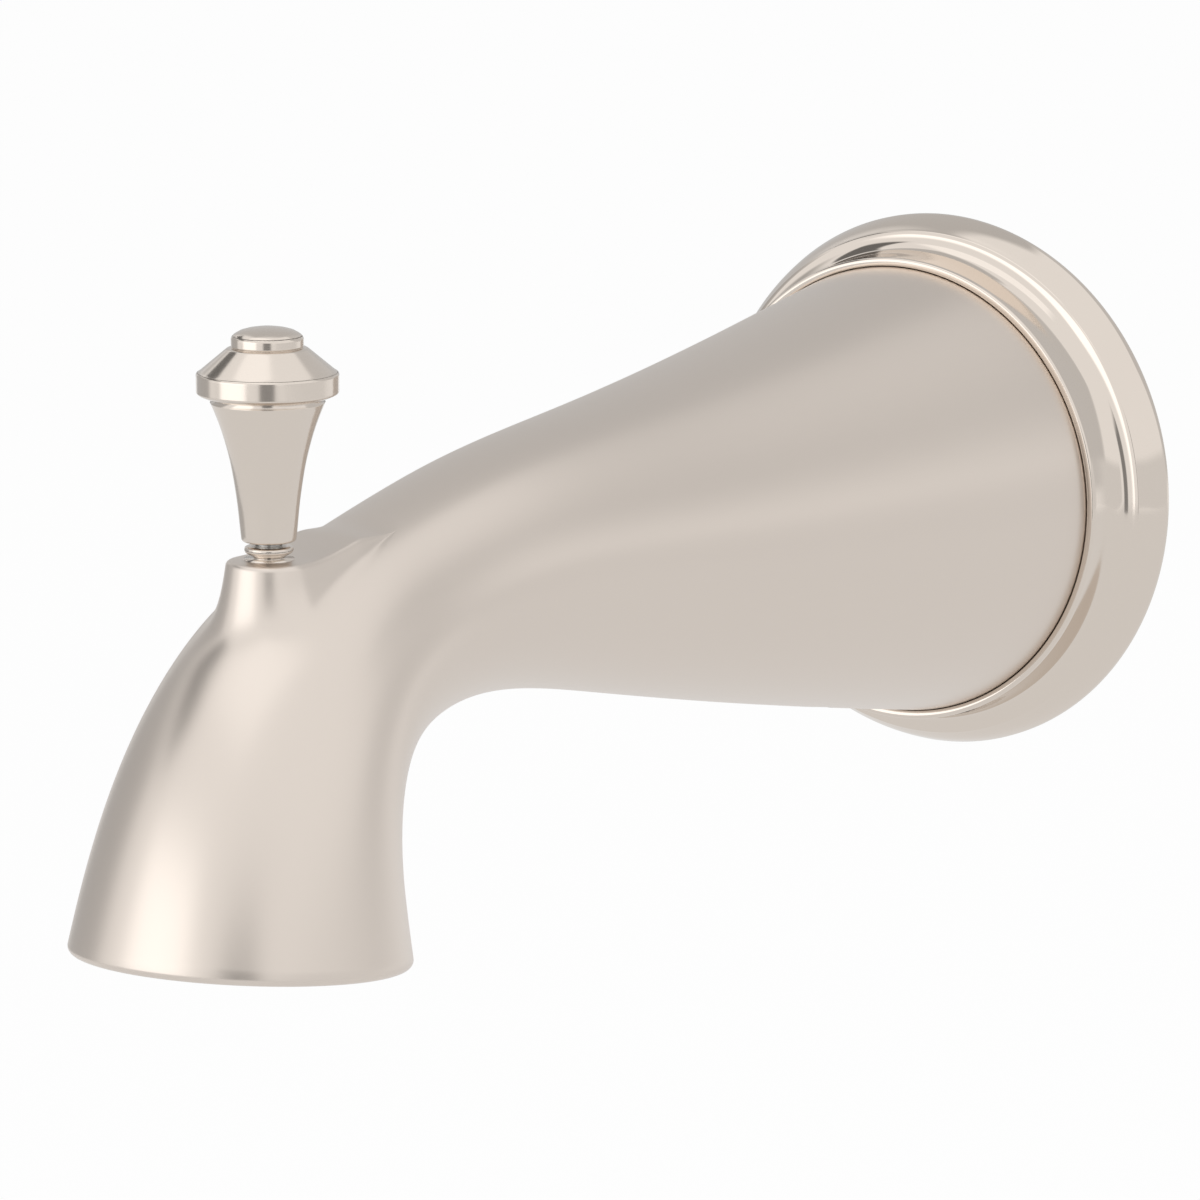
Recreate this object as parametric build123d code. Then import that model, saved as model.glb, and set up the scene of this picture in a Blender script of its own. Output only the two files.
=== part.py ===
from build123d import *
import math
import os

# Bath spout with a pull-up diverter, in millimetres.
# The origin is the centre of the flange's back on the wall, +Z is up and the spout reaches out along -Y.
# "Reach" is the distance out from the wall and "height" is the distance above the inlet's axis.


class Station:
    """One round section of the spout: where its centre is, how far the line droops there, and its radius."""

    def __init__(self, reach, height, droop, radius):
        self.reach = reach
        self.height = height
        self.droop = droop
        self.radius = radius


# Driving dimensions of the spout's outside
knob_reach = 148.6
edge_reach = 10.2
edge_radius = 30.6
outlet_radius = 21.2
outlet_drop = 38.3
outlet_ahead_of_knob = 6.3
outlet_droop = 85.0
rim_round = 0.9
body_wall = 2.7
section_pitch = 7.0

# The cone's middle line rises a little from the wall to the neck, while its radius shrinks
heel_rise = 0.5
heel_radius = 24.9
waist_rise = 1.9
waist_radius = 18.8
neck_rise = 2.3
neck_radius = 15.0

# The bend and the nose are measured from the knob's axis
bend_back = 21.1
bend_drop = 1.0
bend_radius = 13.7
crest_back = 7.1
crest_drop = 7.4
crest_radius = 15.15
face_ahead = 1.0
face_drop = 18.4
face_radius = 17.55

cone_length = knob_reach - bend_back - edge_reach
CONE = [
    Station(edge_reach, 0.0, 0.0, edge_radius),
    Station(edge_reach + 0.288 * cone_length, heel_rise, -1.8, heel_radius),
    Station(edge_reach + 0.6035 * cone_length, waist_rise, -2.2, waist_radius),
    Station(edge_reach + 0.8295 * cone_length, neck_rise, 3.0, neck_radius),
]
NOSE = [
    Station(knob_reach - bend_back, -bend_drop, 17.0, bend_radius),
    Station(knob_reach - crest_back, -crest_drop, 38.0, crest_radius),
    Station(knob_reach + face_ahead, -face_drop, 57.3, face_radius),
    Station(knob_reach + outlet_ahead_of_knob, -outlet_drop, outlet_droop, outlet_radius),
]

# Boss and shelf on top of the nose
boss_top = 10.3
boss_radius = 5.1
shelf_back = 30.0
shelf_flat = 5.6
shelf_rise = 3.0
shelf_rise_run = 17.0
shelf_crown = 0.8
flank_depth = 14.5
flank_spread = 5.9
# The flank spreads as it goes down: (share of its depth, share of its spread)
FLANK = [
    (0.0, 0.0),
    (0.207, 0.068),
    (0.414, 0.169),
    (0.572, 0.322),
    (0.717, 0.508),
    (0.848, 0.763),
    (1.0, 1.0),
]

# Tail of the body, inside the wall flange
tail_start = 2.5
tail_inset = 2.4
tail_wall = 3.0
tail_root = 6.0

# Wall flange, measured from the body's edge
flange_overhang = 5.9
flange_band = 0.8
shoulder_depth = 4.7
shoulder_inset = 1.9
shoulder_edge = 0.3
cove_slope = 0.4
cove_bend = 1.7
lip_depth = 1.3
lip_width = 0.7
lip_gap = 0.35
flange_slip = 0.15
gasket_depth = 2.0
gasket_inset = 1.7
gasket_width = 4.8

# Web of the body that holds the hub
web_start = 24.0
web_thickness = 4.0
collar_length = 8.0
collar_wall = 3.0
weep_radius = 3.5
weep_land = 9.2
weep_count = 6

# Copper pipe and the hub that slips over it
pipe_bore_radius = 8.05
hub_wall = 3.95
hub_chamfer = 1.0
hub_throat_radius = 6.2
hub_throat_length = 3.0
hub_shoulder = 3.0
hub_shoulder_width = 3.5
hub_tube_socket = 9.0

# Set screw from below, between the web and the pipe's seals
screw_ahead_of_web = 5.0
screw_to_pipe_stop = 13.0
set_screw_radius = 3.0
set_screw_length = 8.0
set_screw_key = 3.0
key_hole_spare = 0.8

# Washer and snap ring behind the hub's shoulder
washer_thickness = 1.5
snap_thickness = 1.1
snap_bite = 1.0
snap_width = 2.8
snap_gap = 9.0
snap_eye_radius = 0.8

# Seal rings: radius of the cord and the width that their grooves add
pipe_ring_cord = 0.9
tube_ring_cord = 0.85
stem_ring_cord = 0.4
flange_ring_cord = 1.0
groove_spare = 0.3

# Waterway between the hub and the bulkhead
tube_radius = 7.0
tube_wall = 1.2
bulkhead_thickness = 15.0
bulkhead_foot = 22.0
tube_socket_depth = 7.0
throat_radius = 5.6

# Port, seat and gate
gate_offset = 10.0
port_drop = 4.2
port_radius = 4.2
port_clear = 0.4
seat_wall = 2.2
seat_length = 3.6
seat_stand = 0.6
seal_lap = 2.0
seal_thickness = 2.0
seal_pocket = 1.2
gate_rim = 0.2
gate_plate_depth = 4.4
gate_arm_half = 2.5
gate_hub_radius = 3.6
gate_hub_height = 6.5
gate_hub_below_top = 2.7
nut_flats = 5.0
nut_height = 2.2
rail_width = 2.2
rail_past_gate = 0.9
rail_short_of_gate = 1.2
lip_thickness = 1.3
lip_reach = 1.7

# Rod, bushing and knob
rod_radius = 1.6
rod_step = 0.35
rod_end_spare = 0.9
rod_in_knob = 12.0
bushing_wall = 1.5
bushing_length = 7.6
collar_step = 0.1
collar_groove = 0.4
collar_groove_height = 0.45
collar_height = 1.0
knob_gap = 0.35
knob_foot_radius = 3.35
knob_foot_round = 0.6
knob_cap_radius = 8.8
knob_cap_bottom = 18.5
knob_cap_height = 2.2
knob_cap_overhang = 1.8
knob_under_cone = 1.1
knob_shoulder_height = 3.2
knob_button_radius = 4.35
knob_button_height = 1.4
knob_dome = 1.2

# Fits
running_fit = 0.05
close_fit = 0.02
open_fit = 0.3

# Places that follow from the sizes above
STATIONS = CONE + NOSE
tail_radius = edge_radius - tail_inset
flange_radius = edge_radius + flange_overhang
flange_depth = edge_reach + lip_depth
gasket_outer = flange_radius - gasket_inset
gasket_inner = gasket_outer - gasket_width
hub_radius = pipe_bore_radius + hub_wall
hub_shoulder_radius = hub_radius + hub_shoulder
set_screw_reach = web_start + web_thickness + screw_ahead_of_web
socket_depth = set_screw_reach + screw_to_pipe_stop
tube_socket_start = socket_depth + hub_throat_length
hub_length = tube_socket_start + hub_tube_socket
collar_bore = hub_shoulder_radius + close_fit
snap_start = web_start - hub_shoulder_width - washer_thickness - snap_thickness
seat_face = knob_reach - gate_offset
bulkhead_face = seat_face - seat_stand
bulkhead_back = bulkhead_face - bulkhead_thickness
tube_end = bulkhead_back + tube_socket_depth
seat_radius = port_radius + seat_wall
seal_half = port_radius + seal_lap
gate_half = seal_half + gate_rim
travel = port_radius + gate_half + port_clear
rest_height = -port_drop - travel
seal_front = seat_face + open_fit
gate_back = seal_front + seal_thickness - seal_pocket
gate_front = gate_back + gate_plate_depth
gate_hub_top = rest_height + gate_half - gate_hub_below_top
gate_hub_bottom = gate_hub_top - gate_hub_height
bushing_radius = rod_radius + bushing_wall
rod_end_radius = rod_radius - rod_step
knob_bottom = boss_top + collar_groove_height + collar_height + knob_gap
FROM_BASE = (Align.CENTER, Align.CENTER, Align.MIN)
KNOB_AXIS = Axis((0, -knob_reach, 0), (0, 0, 1))


def wall_plane(reach, height=0.0):
    """A plane parallel to the wall, whose normal points out into the room and whose Y is up."""
    return Plane(origin=(0, -reach, height), x_dir=(1, 0, 0), z_dir=(0, -1, 0))


def level_plane(height):
    """A level plane on the knob's axis."""
    return Plane(origin=(0, -knob_reach, height), x_dir=(1, 0, 0), z_dir=(0, 0, 1))


def station_plane(station):
    """The plane of one section of the spout."""
    droop = math.radians(station.droop)
    direction = (0, -math.cos(droop), -math.sin(droop))
    return Plane(origin=(0, -station.reach, station.height), x_dir=(1, 0, 0), z_dir=direction)


def out_rod(radius, start, end, height=0.0):
    """A round bar square to the wall."""
    return wall_plane(start, height) * Cylinder(radius, end - start, align=FROM_BASE)


def out_tube(outer, inner, start, end, height=0.0):
    """A round tube square to the wall."""
    return out_rod(outer, start, end, height) - out_rod(inner, start, end, height)


def up_rod(radius, bottom, top):
    """A round bar on the knob's axis."""
    return level_plane(bottom) * Cylinder(radius, top - bottom, align=FROM_BASE)


def out_block(half_width, start, end, bottom, top):
    """A block centred across the spout."""
    block = Box(2 * half_width, end - start, top - bottom)
    return Pos(0, -(start + end) / 2, (bottom + top) / 2) * block


def seal_ring(inner_radius, cord, reach, height=0.0):
    """A seal ring on an axis square to the wall."""
    return wall_plane(reach, height) * Torus(inner_radius + cord + close_fit, cord)


def ring_groove(inner_radius, cord, reach, height=0.0):
    """The groove for a seal ring, cut outwards from a bore."""
    half = cord + groove_spare / 2
    depth = inner_radius + 2 * (cord + close_fit)
    return out_rod(depth, reach - half, reach + half, height)


def rounded_end(solid, centre, radius):
    """Rounds the edge of a solid whose middle is nearest to a point."""
    target = Vector(*centre)
    rims = solid.edges().sort_by(lambda edge: (edge.center(CenterOf.BOUNDING_BOX) - target).length)
    return fillet(rims[0], radius)


def chord(start, end):
    """The straight distance between two stations."""
    return math.hypot(end.reach - start.reach, end.height - start.height)


def blend(start, end, start_rate, end_rate, share):
    """A value between two ends that leaves and arrives at the given rates (a cubic)."""
    rise = 3 * share**2 - 2 * share**3
    leaving = share**3 - 2 * share**2 + share
    arriving = share**3 - share**2
    return start + rise * (end - start) + leaving * start_rate + arriving * end_rate


def rates(stations, index):
    """How fast the droop and the radius grow along the spout at one station."""
    before = stations[max(index - 1, 0)]
    after = stations[min(index + 1, len(stations) - 1)]
    run = chord(before, stations[index]) + chord(stations[index], after)
    return (after.droop - before.droop) / run, (after.radius - before.radius) / run


def station_between(stations, index, share):
    """The section at a share of the way from one station to the next."""
    start, end = stations[index], stations[index + 1]
    run = chord(start, end)
    start_droop, end_droop = math.radians(start.droop), math.radians(end.droop)
    out_rates = run * math.cos(start_droop), run * math.cos(end_droop)
    up_rates = -run * math.sin(start_droop), -run * math.sin(end_droop)
    start_rates, end_rates = rates(stations, index), rates(stations, index + 1)
    return Station(
        blend(start.reach, end.reach, *out_rates, share),
        blend(start.height, end.height, *up_rates, share),
        blend(start.droop, end.droop, run * start_rates[0], run * end_rates[0], share),
        blend(start.radius, end.radius, run * start_rates[1], run * end_rates[1], share),
    )


def close_sections(stations):
    """The driving stations with more sections filled in between them, about evenly spaced."""
    sections = []
    for index in range(len(stations) - 1):
        steps = max(2, round(chord(stations[index], stations[index + 1]) / section_pitch))
        sections += [station_between(stations, index, step / steps) for step in range(steps)]
    return sections + [stations[-1]]


def spout_skin():
    """The outside of the cone, bend and nose, with a rounded rim at the outlet."""
    skin = loft([station_plane(s) * Circle(s.radius) for s in close_sections(STATIONS)])
    end = STATIONS[-1]
    return rounded_end(skin, (0, -end.reach, end.height), rim_round)


def spout_cavity():
    """The hollow inside the skin, from the cone's edge to the outlet."""
    return loft([station_plane(s) * Circle(s.radius - body_wall) for s in close_sections(STATIONS)])


def boss_outline(spread):
    """The plan of the boss and its shelf: round in front, straight sides running back."""
    half = boss_radius + spread
    front = ThreePointArc((half, 0), (0, -half), (-half, 0))
    sides = Polyline((-half, 0), (-half, shelf_back), (half, shelf_back), (half, 0))
    return make_face(front + sides)


def boss():
    """The boss that carries the bushing, spreading down into the nose."""
    levels = []
    for depth, spread in reversed(FLANK):
        outline = boss_outline(spread * flank_spread)
        levels.append(level_plane(boss_top - depth * flank_depth) * outline)
    return loft(levels)


def shelf_ridge():
    """The crowned ridge that carries the top line of the cone down to the level shelf."""
    start = knob_reach - shelf_flat
    end = start - shelf_rise_run
    rise = ThreePointArc(
        (-start, boss_top),
        (-(start + end) / 2, boss_top + shelf_rise * 0.4),
        (-end, boss_top + shelf_rise),
    )
    under = Polyline(
        (-end, boss_top + shelf_rise),
        (-end, boss_top - shelf_rise),
        (-start, boss_top - shelf_rise),
        (-start, boss_top),
    )
    side = Plane.YZ * make_face(rise + under)
    ridge = extrude(side, boss_radius, both=True)
    crest = ridge.edges().filter_by(lambda e: e.center().Z > boss_top and e.length > shelf_rise_run)
    return fillet(crest, shelf_crown)


def hub_web():
    """The web across the cone with its collar and weep holes, cut where the hub passes."""
    web_end = web_start + web_thickness
    web = out_rod(edge_radius, web_start, web_end) & spout_skin_solid
    collar_start = web_start - collar_length
    collar = out_tube(collar_bore + collar_wall, collar_bore, collar_start, web_start)
    groove = out_rod(collar_bore + snap_bite, snap_start, snap_start + snap_thickness)
    web = web - out_rod(hub_radius + close_fit, web_start, web_end) + (collar - groove)
    weep_circle = hub_radius + weep_land
    for turn in range(weep_count):
        angle = math.radians(30 + 360 * turn / weep_count)
        hole = Cylinder(weep_radius, web_thickness, align=FROM_BASE)
        place = Pos(weep_circle * math.cos(angle), weep_circle * math.sin(angle), 0)
        web -= wall_plane(web_start) * place * hole
    return web


def bulkhead():
    """The thick wall in the neck that ends the waterway and carries the valve seat."""
    block = out_block(edge_radius, bulkhead_back, bulkhead_face, -bulkhead_foot, boss_top) & spout_skin_solid
    block -= out_rod(tube_radius + close_fit, bulkhead_back, tube_end)
    block -= ring_groove(tube_radius, tube_ring_cord, bulkhead_back + tube_socket_depth / 2)
    seat_back = seat_face - seat_length
    throat = loft(
        [
            wall_plane(tube_end) * Circle(throat_radius),
            wall_plane(seat_back, -port_drop) * Circle(port_radius),
        ]
    )
    return block - throat - out_rod(seat_radius + close_fit, seat_back, bulkhead_face, -port_drop)


def gate_rails():
    """Two rails with lips, cast on the bulkhead, that the gate slides between."""
    inner = gate_half + open_fit
    lip_start = gate_front + open_fit
    lip_end = lip_start + lip_thickness
    bottom = rest_height - gate_half - rail_past_gate
    top = gate_half - port_drop - rail_short_of_gate
    rails = out_block(inner + rail_width, bulkhead_face, lip_end, bottom, top)
    rails -= out_block(inner, bulkhead_face, lip_start, bottom, top)
    rails -= out_block(inner - lip_reach, lip_start, lip_end, bottom, top)
    return rails & spout_skin_solid


def tail():
    """The spigot behind the cone's edge that goes into the wall flange, with a groove for its seal ring."""
    spigot = out_tube(tail_radius, tail_radius - tail_wall, tail_start, edge_reach + tail_root)
    ring_depth = 2 * (flange_ring_cord + close_fit) - flange_slip
    middle = (tail_start + edge_reach) / 2
    half = flange_ring_cord + groove_spare / 2
    return spigot - out_tube(tail_radius, tail_radius - ring_depth, middle - half, middle + half)


def spout_body():
    """The casting: cone, bend, nose, boss, web, bulkhead and rails in one piece."""
    body = spout_skin_solid + boss() + shelf_ridge() - spout_cavity()
    body += tail()
    body += hub_web()
    body += bulkhead()
    body += gate_rails()
    body -= up_rod(bushing_radius + close_fit, boss_top - bushing_length - boss_radius, boss_top)
    key_hole = Cylinder(
        set_screw_radius + key_hole_spare, edge_radius, align=(Align.CENTER, Align.CENTER, Align.MAX)
    )
    return body - Pos(0, -set_screw_reach, -hub_radius - set_screw_radius) * key_hole


def wall_flange():
    """The turned ring at the wall: band, cove, lip, and the recess that takes the body's edge."""
    recess = edge_radius + lip_gap
    bore = tail_radius + flange_slip
    lip_outer = recess + lip_width
    shoulder = flange_radius - shoulder_inset
    band = ThreePointArc(
        (flange_radius, -flange_band),
        (flange_radius - 0.38 * shoulder_inset, -(flange_band + shoulder_depth) / 2),
        (shoulder, -shoulder_depth),
    )
    cove_start = shoulder_depth + shoulder_edge
    cove = Bezier(
        (shoulder - shoulder_edge, -cove_start),
        (lip_outer + cove_slope / 2, -cove_start - cove_slope),
        (lip_outer, -cove_start - cove_bend),
        (lip_outer, -flange_depth + lip_gap),
    )
    section = (
        Polyline((gasket_outer, 0), (flange_radius, 0), (flange_radius, -flange_band))
        + band
        + Line(band @ 1, cove @ 0)
        + cove
        + Polyline(
            cove @ 1,
            (lip_outer - lip_width / 3, -flange_depth),
            (recess, -flange_depth),
            (recess, -edge_reach),
            (bore, -edge_reach),
            (bore, 0),
            (gasket_inner, 0),
            (gasket_inner, -gasket_depth),
            (gasket_outer, -gasket_depth),
            (gasket_outer, 0),
        )
    )
    return revolve(make_face(section), axis=Axis.Y)


def flange_gasket():
    """The foam ring in the back of the flange."""
    return out_tube(gasket_outer - running_fit, gasket_inner + running_fit, 0, gasket_depth)


def flange_ring():
    """The seal ring between the tail and the flange."""
    middle = (tail_start + edge_reach) / 2
    return seal_ring(tail_radius + flange_slip - 2 * (flange_ring_cord + close_fit), flange_ring_cord, middle)


def inlet_hub():
    """The brass hub: pipe socket, two inner grooves, shoulder, and a socket for the waterway tube."""
    hub = out_rod(hub_radius, 0, hub_length)
    hub += out_rod(hub_shoulder_radius, web_start - hub_shoulder_width, web_start)
    hub = chamfer(hub.edges().filter_by(GeomType.CIRCLE).sort_by(Axis.Y)[0], hub_chamfer)
    hub -= out_rod(pipe_bore_radius, 0, socket_depth)
    hub -= out_rod(hub_throat_radius, socket_depth, tube_socket_start)
    hub -= out_rod(tube_radius + close_fit, tube_socket_start, hub_length)
    for reach in pipe_ring_reaches():
        hub -= ring_groove(pipe_bore_radius, pipe_ring_cord, reach)
    hub -= ring_groove(tube_radius, tube_ring_cord, (tube_socket_start + hub_length) / 2)
    thread = Cylinder(set_screw_radius + close_fit, hub_radius, align=(Align.CENTER, Align.CENTER, Align.MAX))
    return hub - Pos(0, -set_screw_reach, 0) * thread


def pipe_ring_reaches():
    """Where the two pipe seals lie, in front of the set screw."""
    front = socket_depth - 3 * pipe_ring_cord
    return front - 4.5 * pipe_ring_cord, front


def hub_washer():
    """The flat washer between the hub's shoulder and the snap ring."""
    start = web_start - hub_shoulder_width - washer_thickness
    return out_tube(hub_shoulder_radius - running_fit, hub_radius + open_fit, start, start + washer_thickness)


def snap_ring():
    """The inside snap ring that holds the hub in the web's collar."""
    outer = collar_bore + snap_bite - close_fit
    inner = outer - snap_width
    end = snap_start + snap_thickness
    ring = out_tube(outer, inner, snap_start, end)
    gap = Box(snap_gap, outer, snap_thickness, align=(Align.CENTER, Align.MIN, Align.MIN))
    ring -= wall_plane(snap_start) * gap
    turn = math.asin((snap_gap / 2 + snap_width / 2) / (outer - snap_width / 2))
    for side in (-1, 1):
        x = side * (outer - snap_width / 2) * math.sin(turn)
        y = (outer - snap_width / 2) * math.cos(turn)
        eye = Cylinder(snap_eye_radius, snap_thickness, align=FROM_BASE)
        ring -= wall_plane(snap_start) * Pos(x, y, 0) * eye
    return ring


def set_screw():
    """The socket set screw in the hub, backed out clear of the pipe."""
    top = -pipe_bore_radius - open_fit
    screw = Cylinder(set_screw_radius, set_screw_length, align=(Align.CENTER, Align.CENTER, Align.MAX))
    screw = chamfer(screw.edges().filter_by(GeomType.CIRCLE).sort_by(Axis.Z)[-1], set_screw_radius / 3)
    socket_face = RegularPolygon(set_screw_key / 2, 6, major_radius=False)
    socket = extrude(Pos(0, 0, -set_screw_length) * socket_face, set_screw_length / 2)
    return Pos(0, -set_screw_reach, top) * (screw - socket)


def waterway_tube():
    """The straight tube from the hub to the bulkhead."""
    start = tube_socket_start + open_fit
    return out_tube(tube_radius, tube_radius - tube_wall, start, tube_end - open_fit)


def valve_seat():
    """The ring pressed into the bulkhead that the gate closes on."""
    start = seat_face - seat_length
    seat = out_tube(seat_radius, port_radius, start, seat_face, -port_drop)
    mouth = seat.edges().filter_by(GeomType.CIRCLE).group_by(Axis.Y)[0]
    return chamfer(mouth, seat_stand / 2)


def stem_bushing():
    """The bushing that guides the rod, with the collar that shows under the knob."""
    groove_top = boss_top + collar_groove_height
    bushing = up_rod(bushing_radius, boss_top - bushing_length, boss_top)
    collar_radius = bushing_radius - collar_step
    bushing += up_rod(collar_radius - collar_groove, boss_top, groove_top)
    collar = up_rod(collar_radius, groove_top, groove_top + collar_height)
    bushing += fillet(collar.edges().filter_by(GeomType.CIRCLE), collar_height / 3)
    bushing -= up_rod(rod_radius + running_fit, boss_top - bushing_length, groove_top + collar_height)
    half = stem_ring_cord + groove_spare / 2
    middle = boss_top - bushing_length / 2
    depth = rod_radius + running_fit + 2 * stem_ring_cord
    return bushing - up_rod(depth, middle - half, middle + half)


def stem_ring():
    """The seal ring in the bushing, round the rod."""
    middle = boss_top - bushing_length / 2
    return level_plane(middle) * Torus(rod_radius + close_fit + stem_ring_cord, stem_ring_cord)


def dome(radius, bottom, rise):
    """The half outline of a shallow dome that is level at its axis."""
    sphere = (radius**2 + rise**2) / (2 * rise)
    middle = math.asin(radius / sphere) / 2
    via = (sphere * math.sin(middle), bottom + rise - sphere * (1 - math.cos(middle)))
    return ThreePointArc((radius, bottom), via, (0, bottom + rise))


def diverter_knob():
    """The turned knob: rounded foot, waisted skirt, cap with a cone above, and a button on top."""
    cap_bottom = knob_bottom + knob_cap_bottom
    cap_top = cap_bottom + knob_cap_height
    skirt_top = cap_bottom - knob_under_cone
    button_bottom = cap_top + knob_shoulder_height
    button_top = button_bottom + knob_button_height
    hole = rod_radius + close_fit
    hole_top = knob_bottom + rod_in_knob + open_fit
    edge = knob_foot_round / 2
    height = skirt_top - knob_bottom
    foot = ThreePointArc(
        (knob_foot_radius - knob_foot_round, knob_bottom),
        (knob_foot_radius - knob_foot_round * 0.3, knob_bottom + knob_foot_round * 0.3),
        (knob_foot_radius, knob_bottom + knob_foot_round),
    )
    skirt_top_radius = knob_cap_radius - knob_cap_overhang
    spread = skirt_top_radius - knob_foot_radius
    skirt = Spline(
        foot @ 1,
        (knob_foot_radius + spread * 0.13, knob_bottom + height * 0.30),
        (knob_foot_radius + spread * 0.41, knob_bottom + height * 0.65),
        (skirt_top_radius, skirt_top),
    )
    outline = (
        Line((hole, knob_bottom), foot @ 0)
        + foot
        + skirt
        + Polyline(
            skirt @ 1,
            (knob_cap_radius - edge, cap_bottom - edge / 2),
            (knob_cap_radius, cap_bottom),
            (knob_cap_radius, cap_top - edge),
            (knob_cap_radius - edge, cap_top),
            (knob_button_radius - edge / 2, button_bottom),
            (knob_button_radius, button_bottom + edge / 2),
            (knob_button_radius, button_top - edge),
            (knob_button_radius - edge, button_top),
        )
        + dome(knob_button_radius - edge, button_top, knob_dome)
        + Polyline((0, button_top + knob_dome), (0, hole_top), (hole, hole_top), (hole, knob_bottom))
    )
    return revolve(wall_plane(knob_reach) * make_face(outline), axis=KNOB_AXIS)


def lift_rod():
    """The rod from the knob down through the bushing, with a thin end for the gate and its nut."""
    end = gate_hub_bottom - nut_height - rod_end_spare
    rod = up_rod(rod_radius, gate_hub_top, knob_bottom + rod_in_knob)
    return rod + up_rod(rod_end_radius, end, gate_hub_top)


def diverter_gate():
    """The gate: a plate with a pocket for its seal, and an arm to the hub on the rod."""
    bottom = rest_height - gate_half
    top = rest_height + gate_half
    gate = out_block(gate_half, gate_back, gate_front, bottom, top)
    half = seal_half + close_fit
    gate -= out_block(half, gate_back, gate_back + seal_pocket, rest_height - half, rest_height + half)
    gate += out_block(gate_arm_half, gate_front, knob_reach, gate_hub_bottom, gate_hub_top)
    gate += up_rod(gate_hub_radius, gate_hub_bottom, gate_hub_top)
    return gate - up_rod(rod_end_radius + close_fit, gate_hub_bottom, gate_hub_top)


def gate_seal():
    """The rubber pad in the gate's pocket."""
    bottom = rest_height - seal_half
    top = rest_height + seal_half
    return out_block(seal_half, seal_front, seal_front + seal_thickness, bottom, top)


def gate_nut():
    """The nut under the gate's hub."""
    bottom = gate_hub_bottom - nut_height
    nut = extrude(level_plane(bottom) * RegularPolygon(nut_flats / 2, 6, major_radius=False), nut_height)
    return nut - up_rod(rod_end_radius + close_fit, bottom, gate_hub_bottom)


spout_skin_solid = spout_skin()
pipe_rings = [seal_ring(pipe_bore_radius, pipe_ring_cord, reach) for reach in pipe_ring_reaches()]
NODES = {
    "spout_body": spout_body(),
    "wall_flange": wall_flange(),
    "flange_gasket": flange_gasket(),
    "flange_o_ring": flange_ring(),
    "inlet_hub": inlet_hub(),
    "inlet_o_ring_rear": pipe_rings[0],
    "inlet_o_ring_front": pipe_rings[1],
    "hub_washer": hub_washer(),
    "hub_snap_ring": snap_ring(),
    "set_screw": set_screw(),
    "waterway_tube": waterway_tube(),
    "tube_o_ring_rear": seal_ring(tube_radius, tube_ring_cord, (tube_socket_start + hub_length) / 2),
    "tube_o_ring_front": seal_ring(tube_radius, tube_ring_cord, bulkhead_back + tube_socket_depth / 2),
    "valve_seat": valve_seat(),
    "stem_bushing": stem_bushing(),
    "stem_o_ring": stem_ring(),
    "diverter_knob": diverter_knob(),
    "lift_rod": lift_rod(),
    "diverter_gate": diverter_gate(),
    "gate_seal": gate_seal(),
    "gate_nut": gate_nut(),
}

os.makedirs("parts", exist_ok=True)
for name, shape in NODES.items():
    export_step(shape, f"parts/{name}.step")
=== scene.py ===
"""The looks of a bath spout with a pull-up diverter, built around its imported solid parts.

The spout reaches out from the wall along -Y, +Z is up, and the origin is the middle of the wall flange's
back. "Reach" is the distance from the wall and "height" the distance above the inlet's axis. Sizes in the
classes are millimetres, as on a drawing, and each mesh is brought to metres when it is finished.
"""

import logging
import math
from dataclasses import astuple, dataclass, field
from enum import Enum
from typing import Callable, ClassVar, Sequence

import bmesh
import bpy
import numpy as np
from bmesh.types import BMesh, BMVert
from bpy.types import ID, Material, Mesh, Node, NodeTree, Object
from mathutils import Matrix, Vector

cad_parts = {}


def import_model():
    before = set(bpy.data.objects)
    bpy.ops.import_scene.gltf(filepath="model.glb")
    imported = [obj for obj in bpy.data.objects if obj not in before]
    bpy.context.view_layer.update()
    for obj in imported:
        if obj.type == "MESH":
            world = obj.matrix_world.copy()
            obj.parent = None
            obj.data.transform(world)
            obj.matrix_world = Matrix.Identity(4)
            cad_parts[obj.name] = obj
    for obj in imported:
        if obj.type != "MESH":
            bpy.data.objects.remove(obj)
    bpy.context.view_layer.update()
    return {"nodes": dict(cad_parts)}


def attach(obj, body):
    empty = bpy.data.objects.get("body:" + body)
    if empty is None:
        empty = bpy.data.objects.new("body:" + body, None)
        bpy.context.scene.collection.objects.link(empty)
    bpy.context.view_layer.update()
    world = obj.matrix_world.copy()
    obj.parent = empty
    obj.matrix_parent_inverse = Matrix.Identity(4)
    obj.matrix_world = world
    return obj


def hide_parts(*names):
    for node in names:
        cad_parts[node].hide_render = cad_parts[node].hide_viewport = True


LOG = logging.getLogger("bath_spout")
MM = 0.001
MERGE = 0.0004  # points closer than this, in millimetres, become one
QUARTER = math.pi / 2
KNOB_REACH = 148.6
BOSS_TOP = 10.3
EDGE_REACH = 10.2

Rgb = tuple[float, float, float]


class Carrier(Enum):
    """The moving body that a piece rides on."""

    SPOUT = "spout"
    LIFT = "lift"


class Turning(Enum):
    """The line that a turned piece is turned about."""

    OUT_FROM_WALL = "out"
    UP_THE_KNOB = "up"


# Finishes


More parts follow.
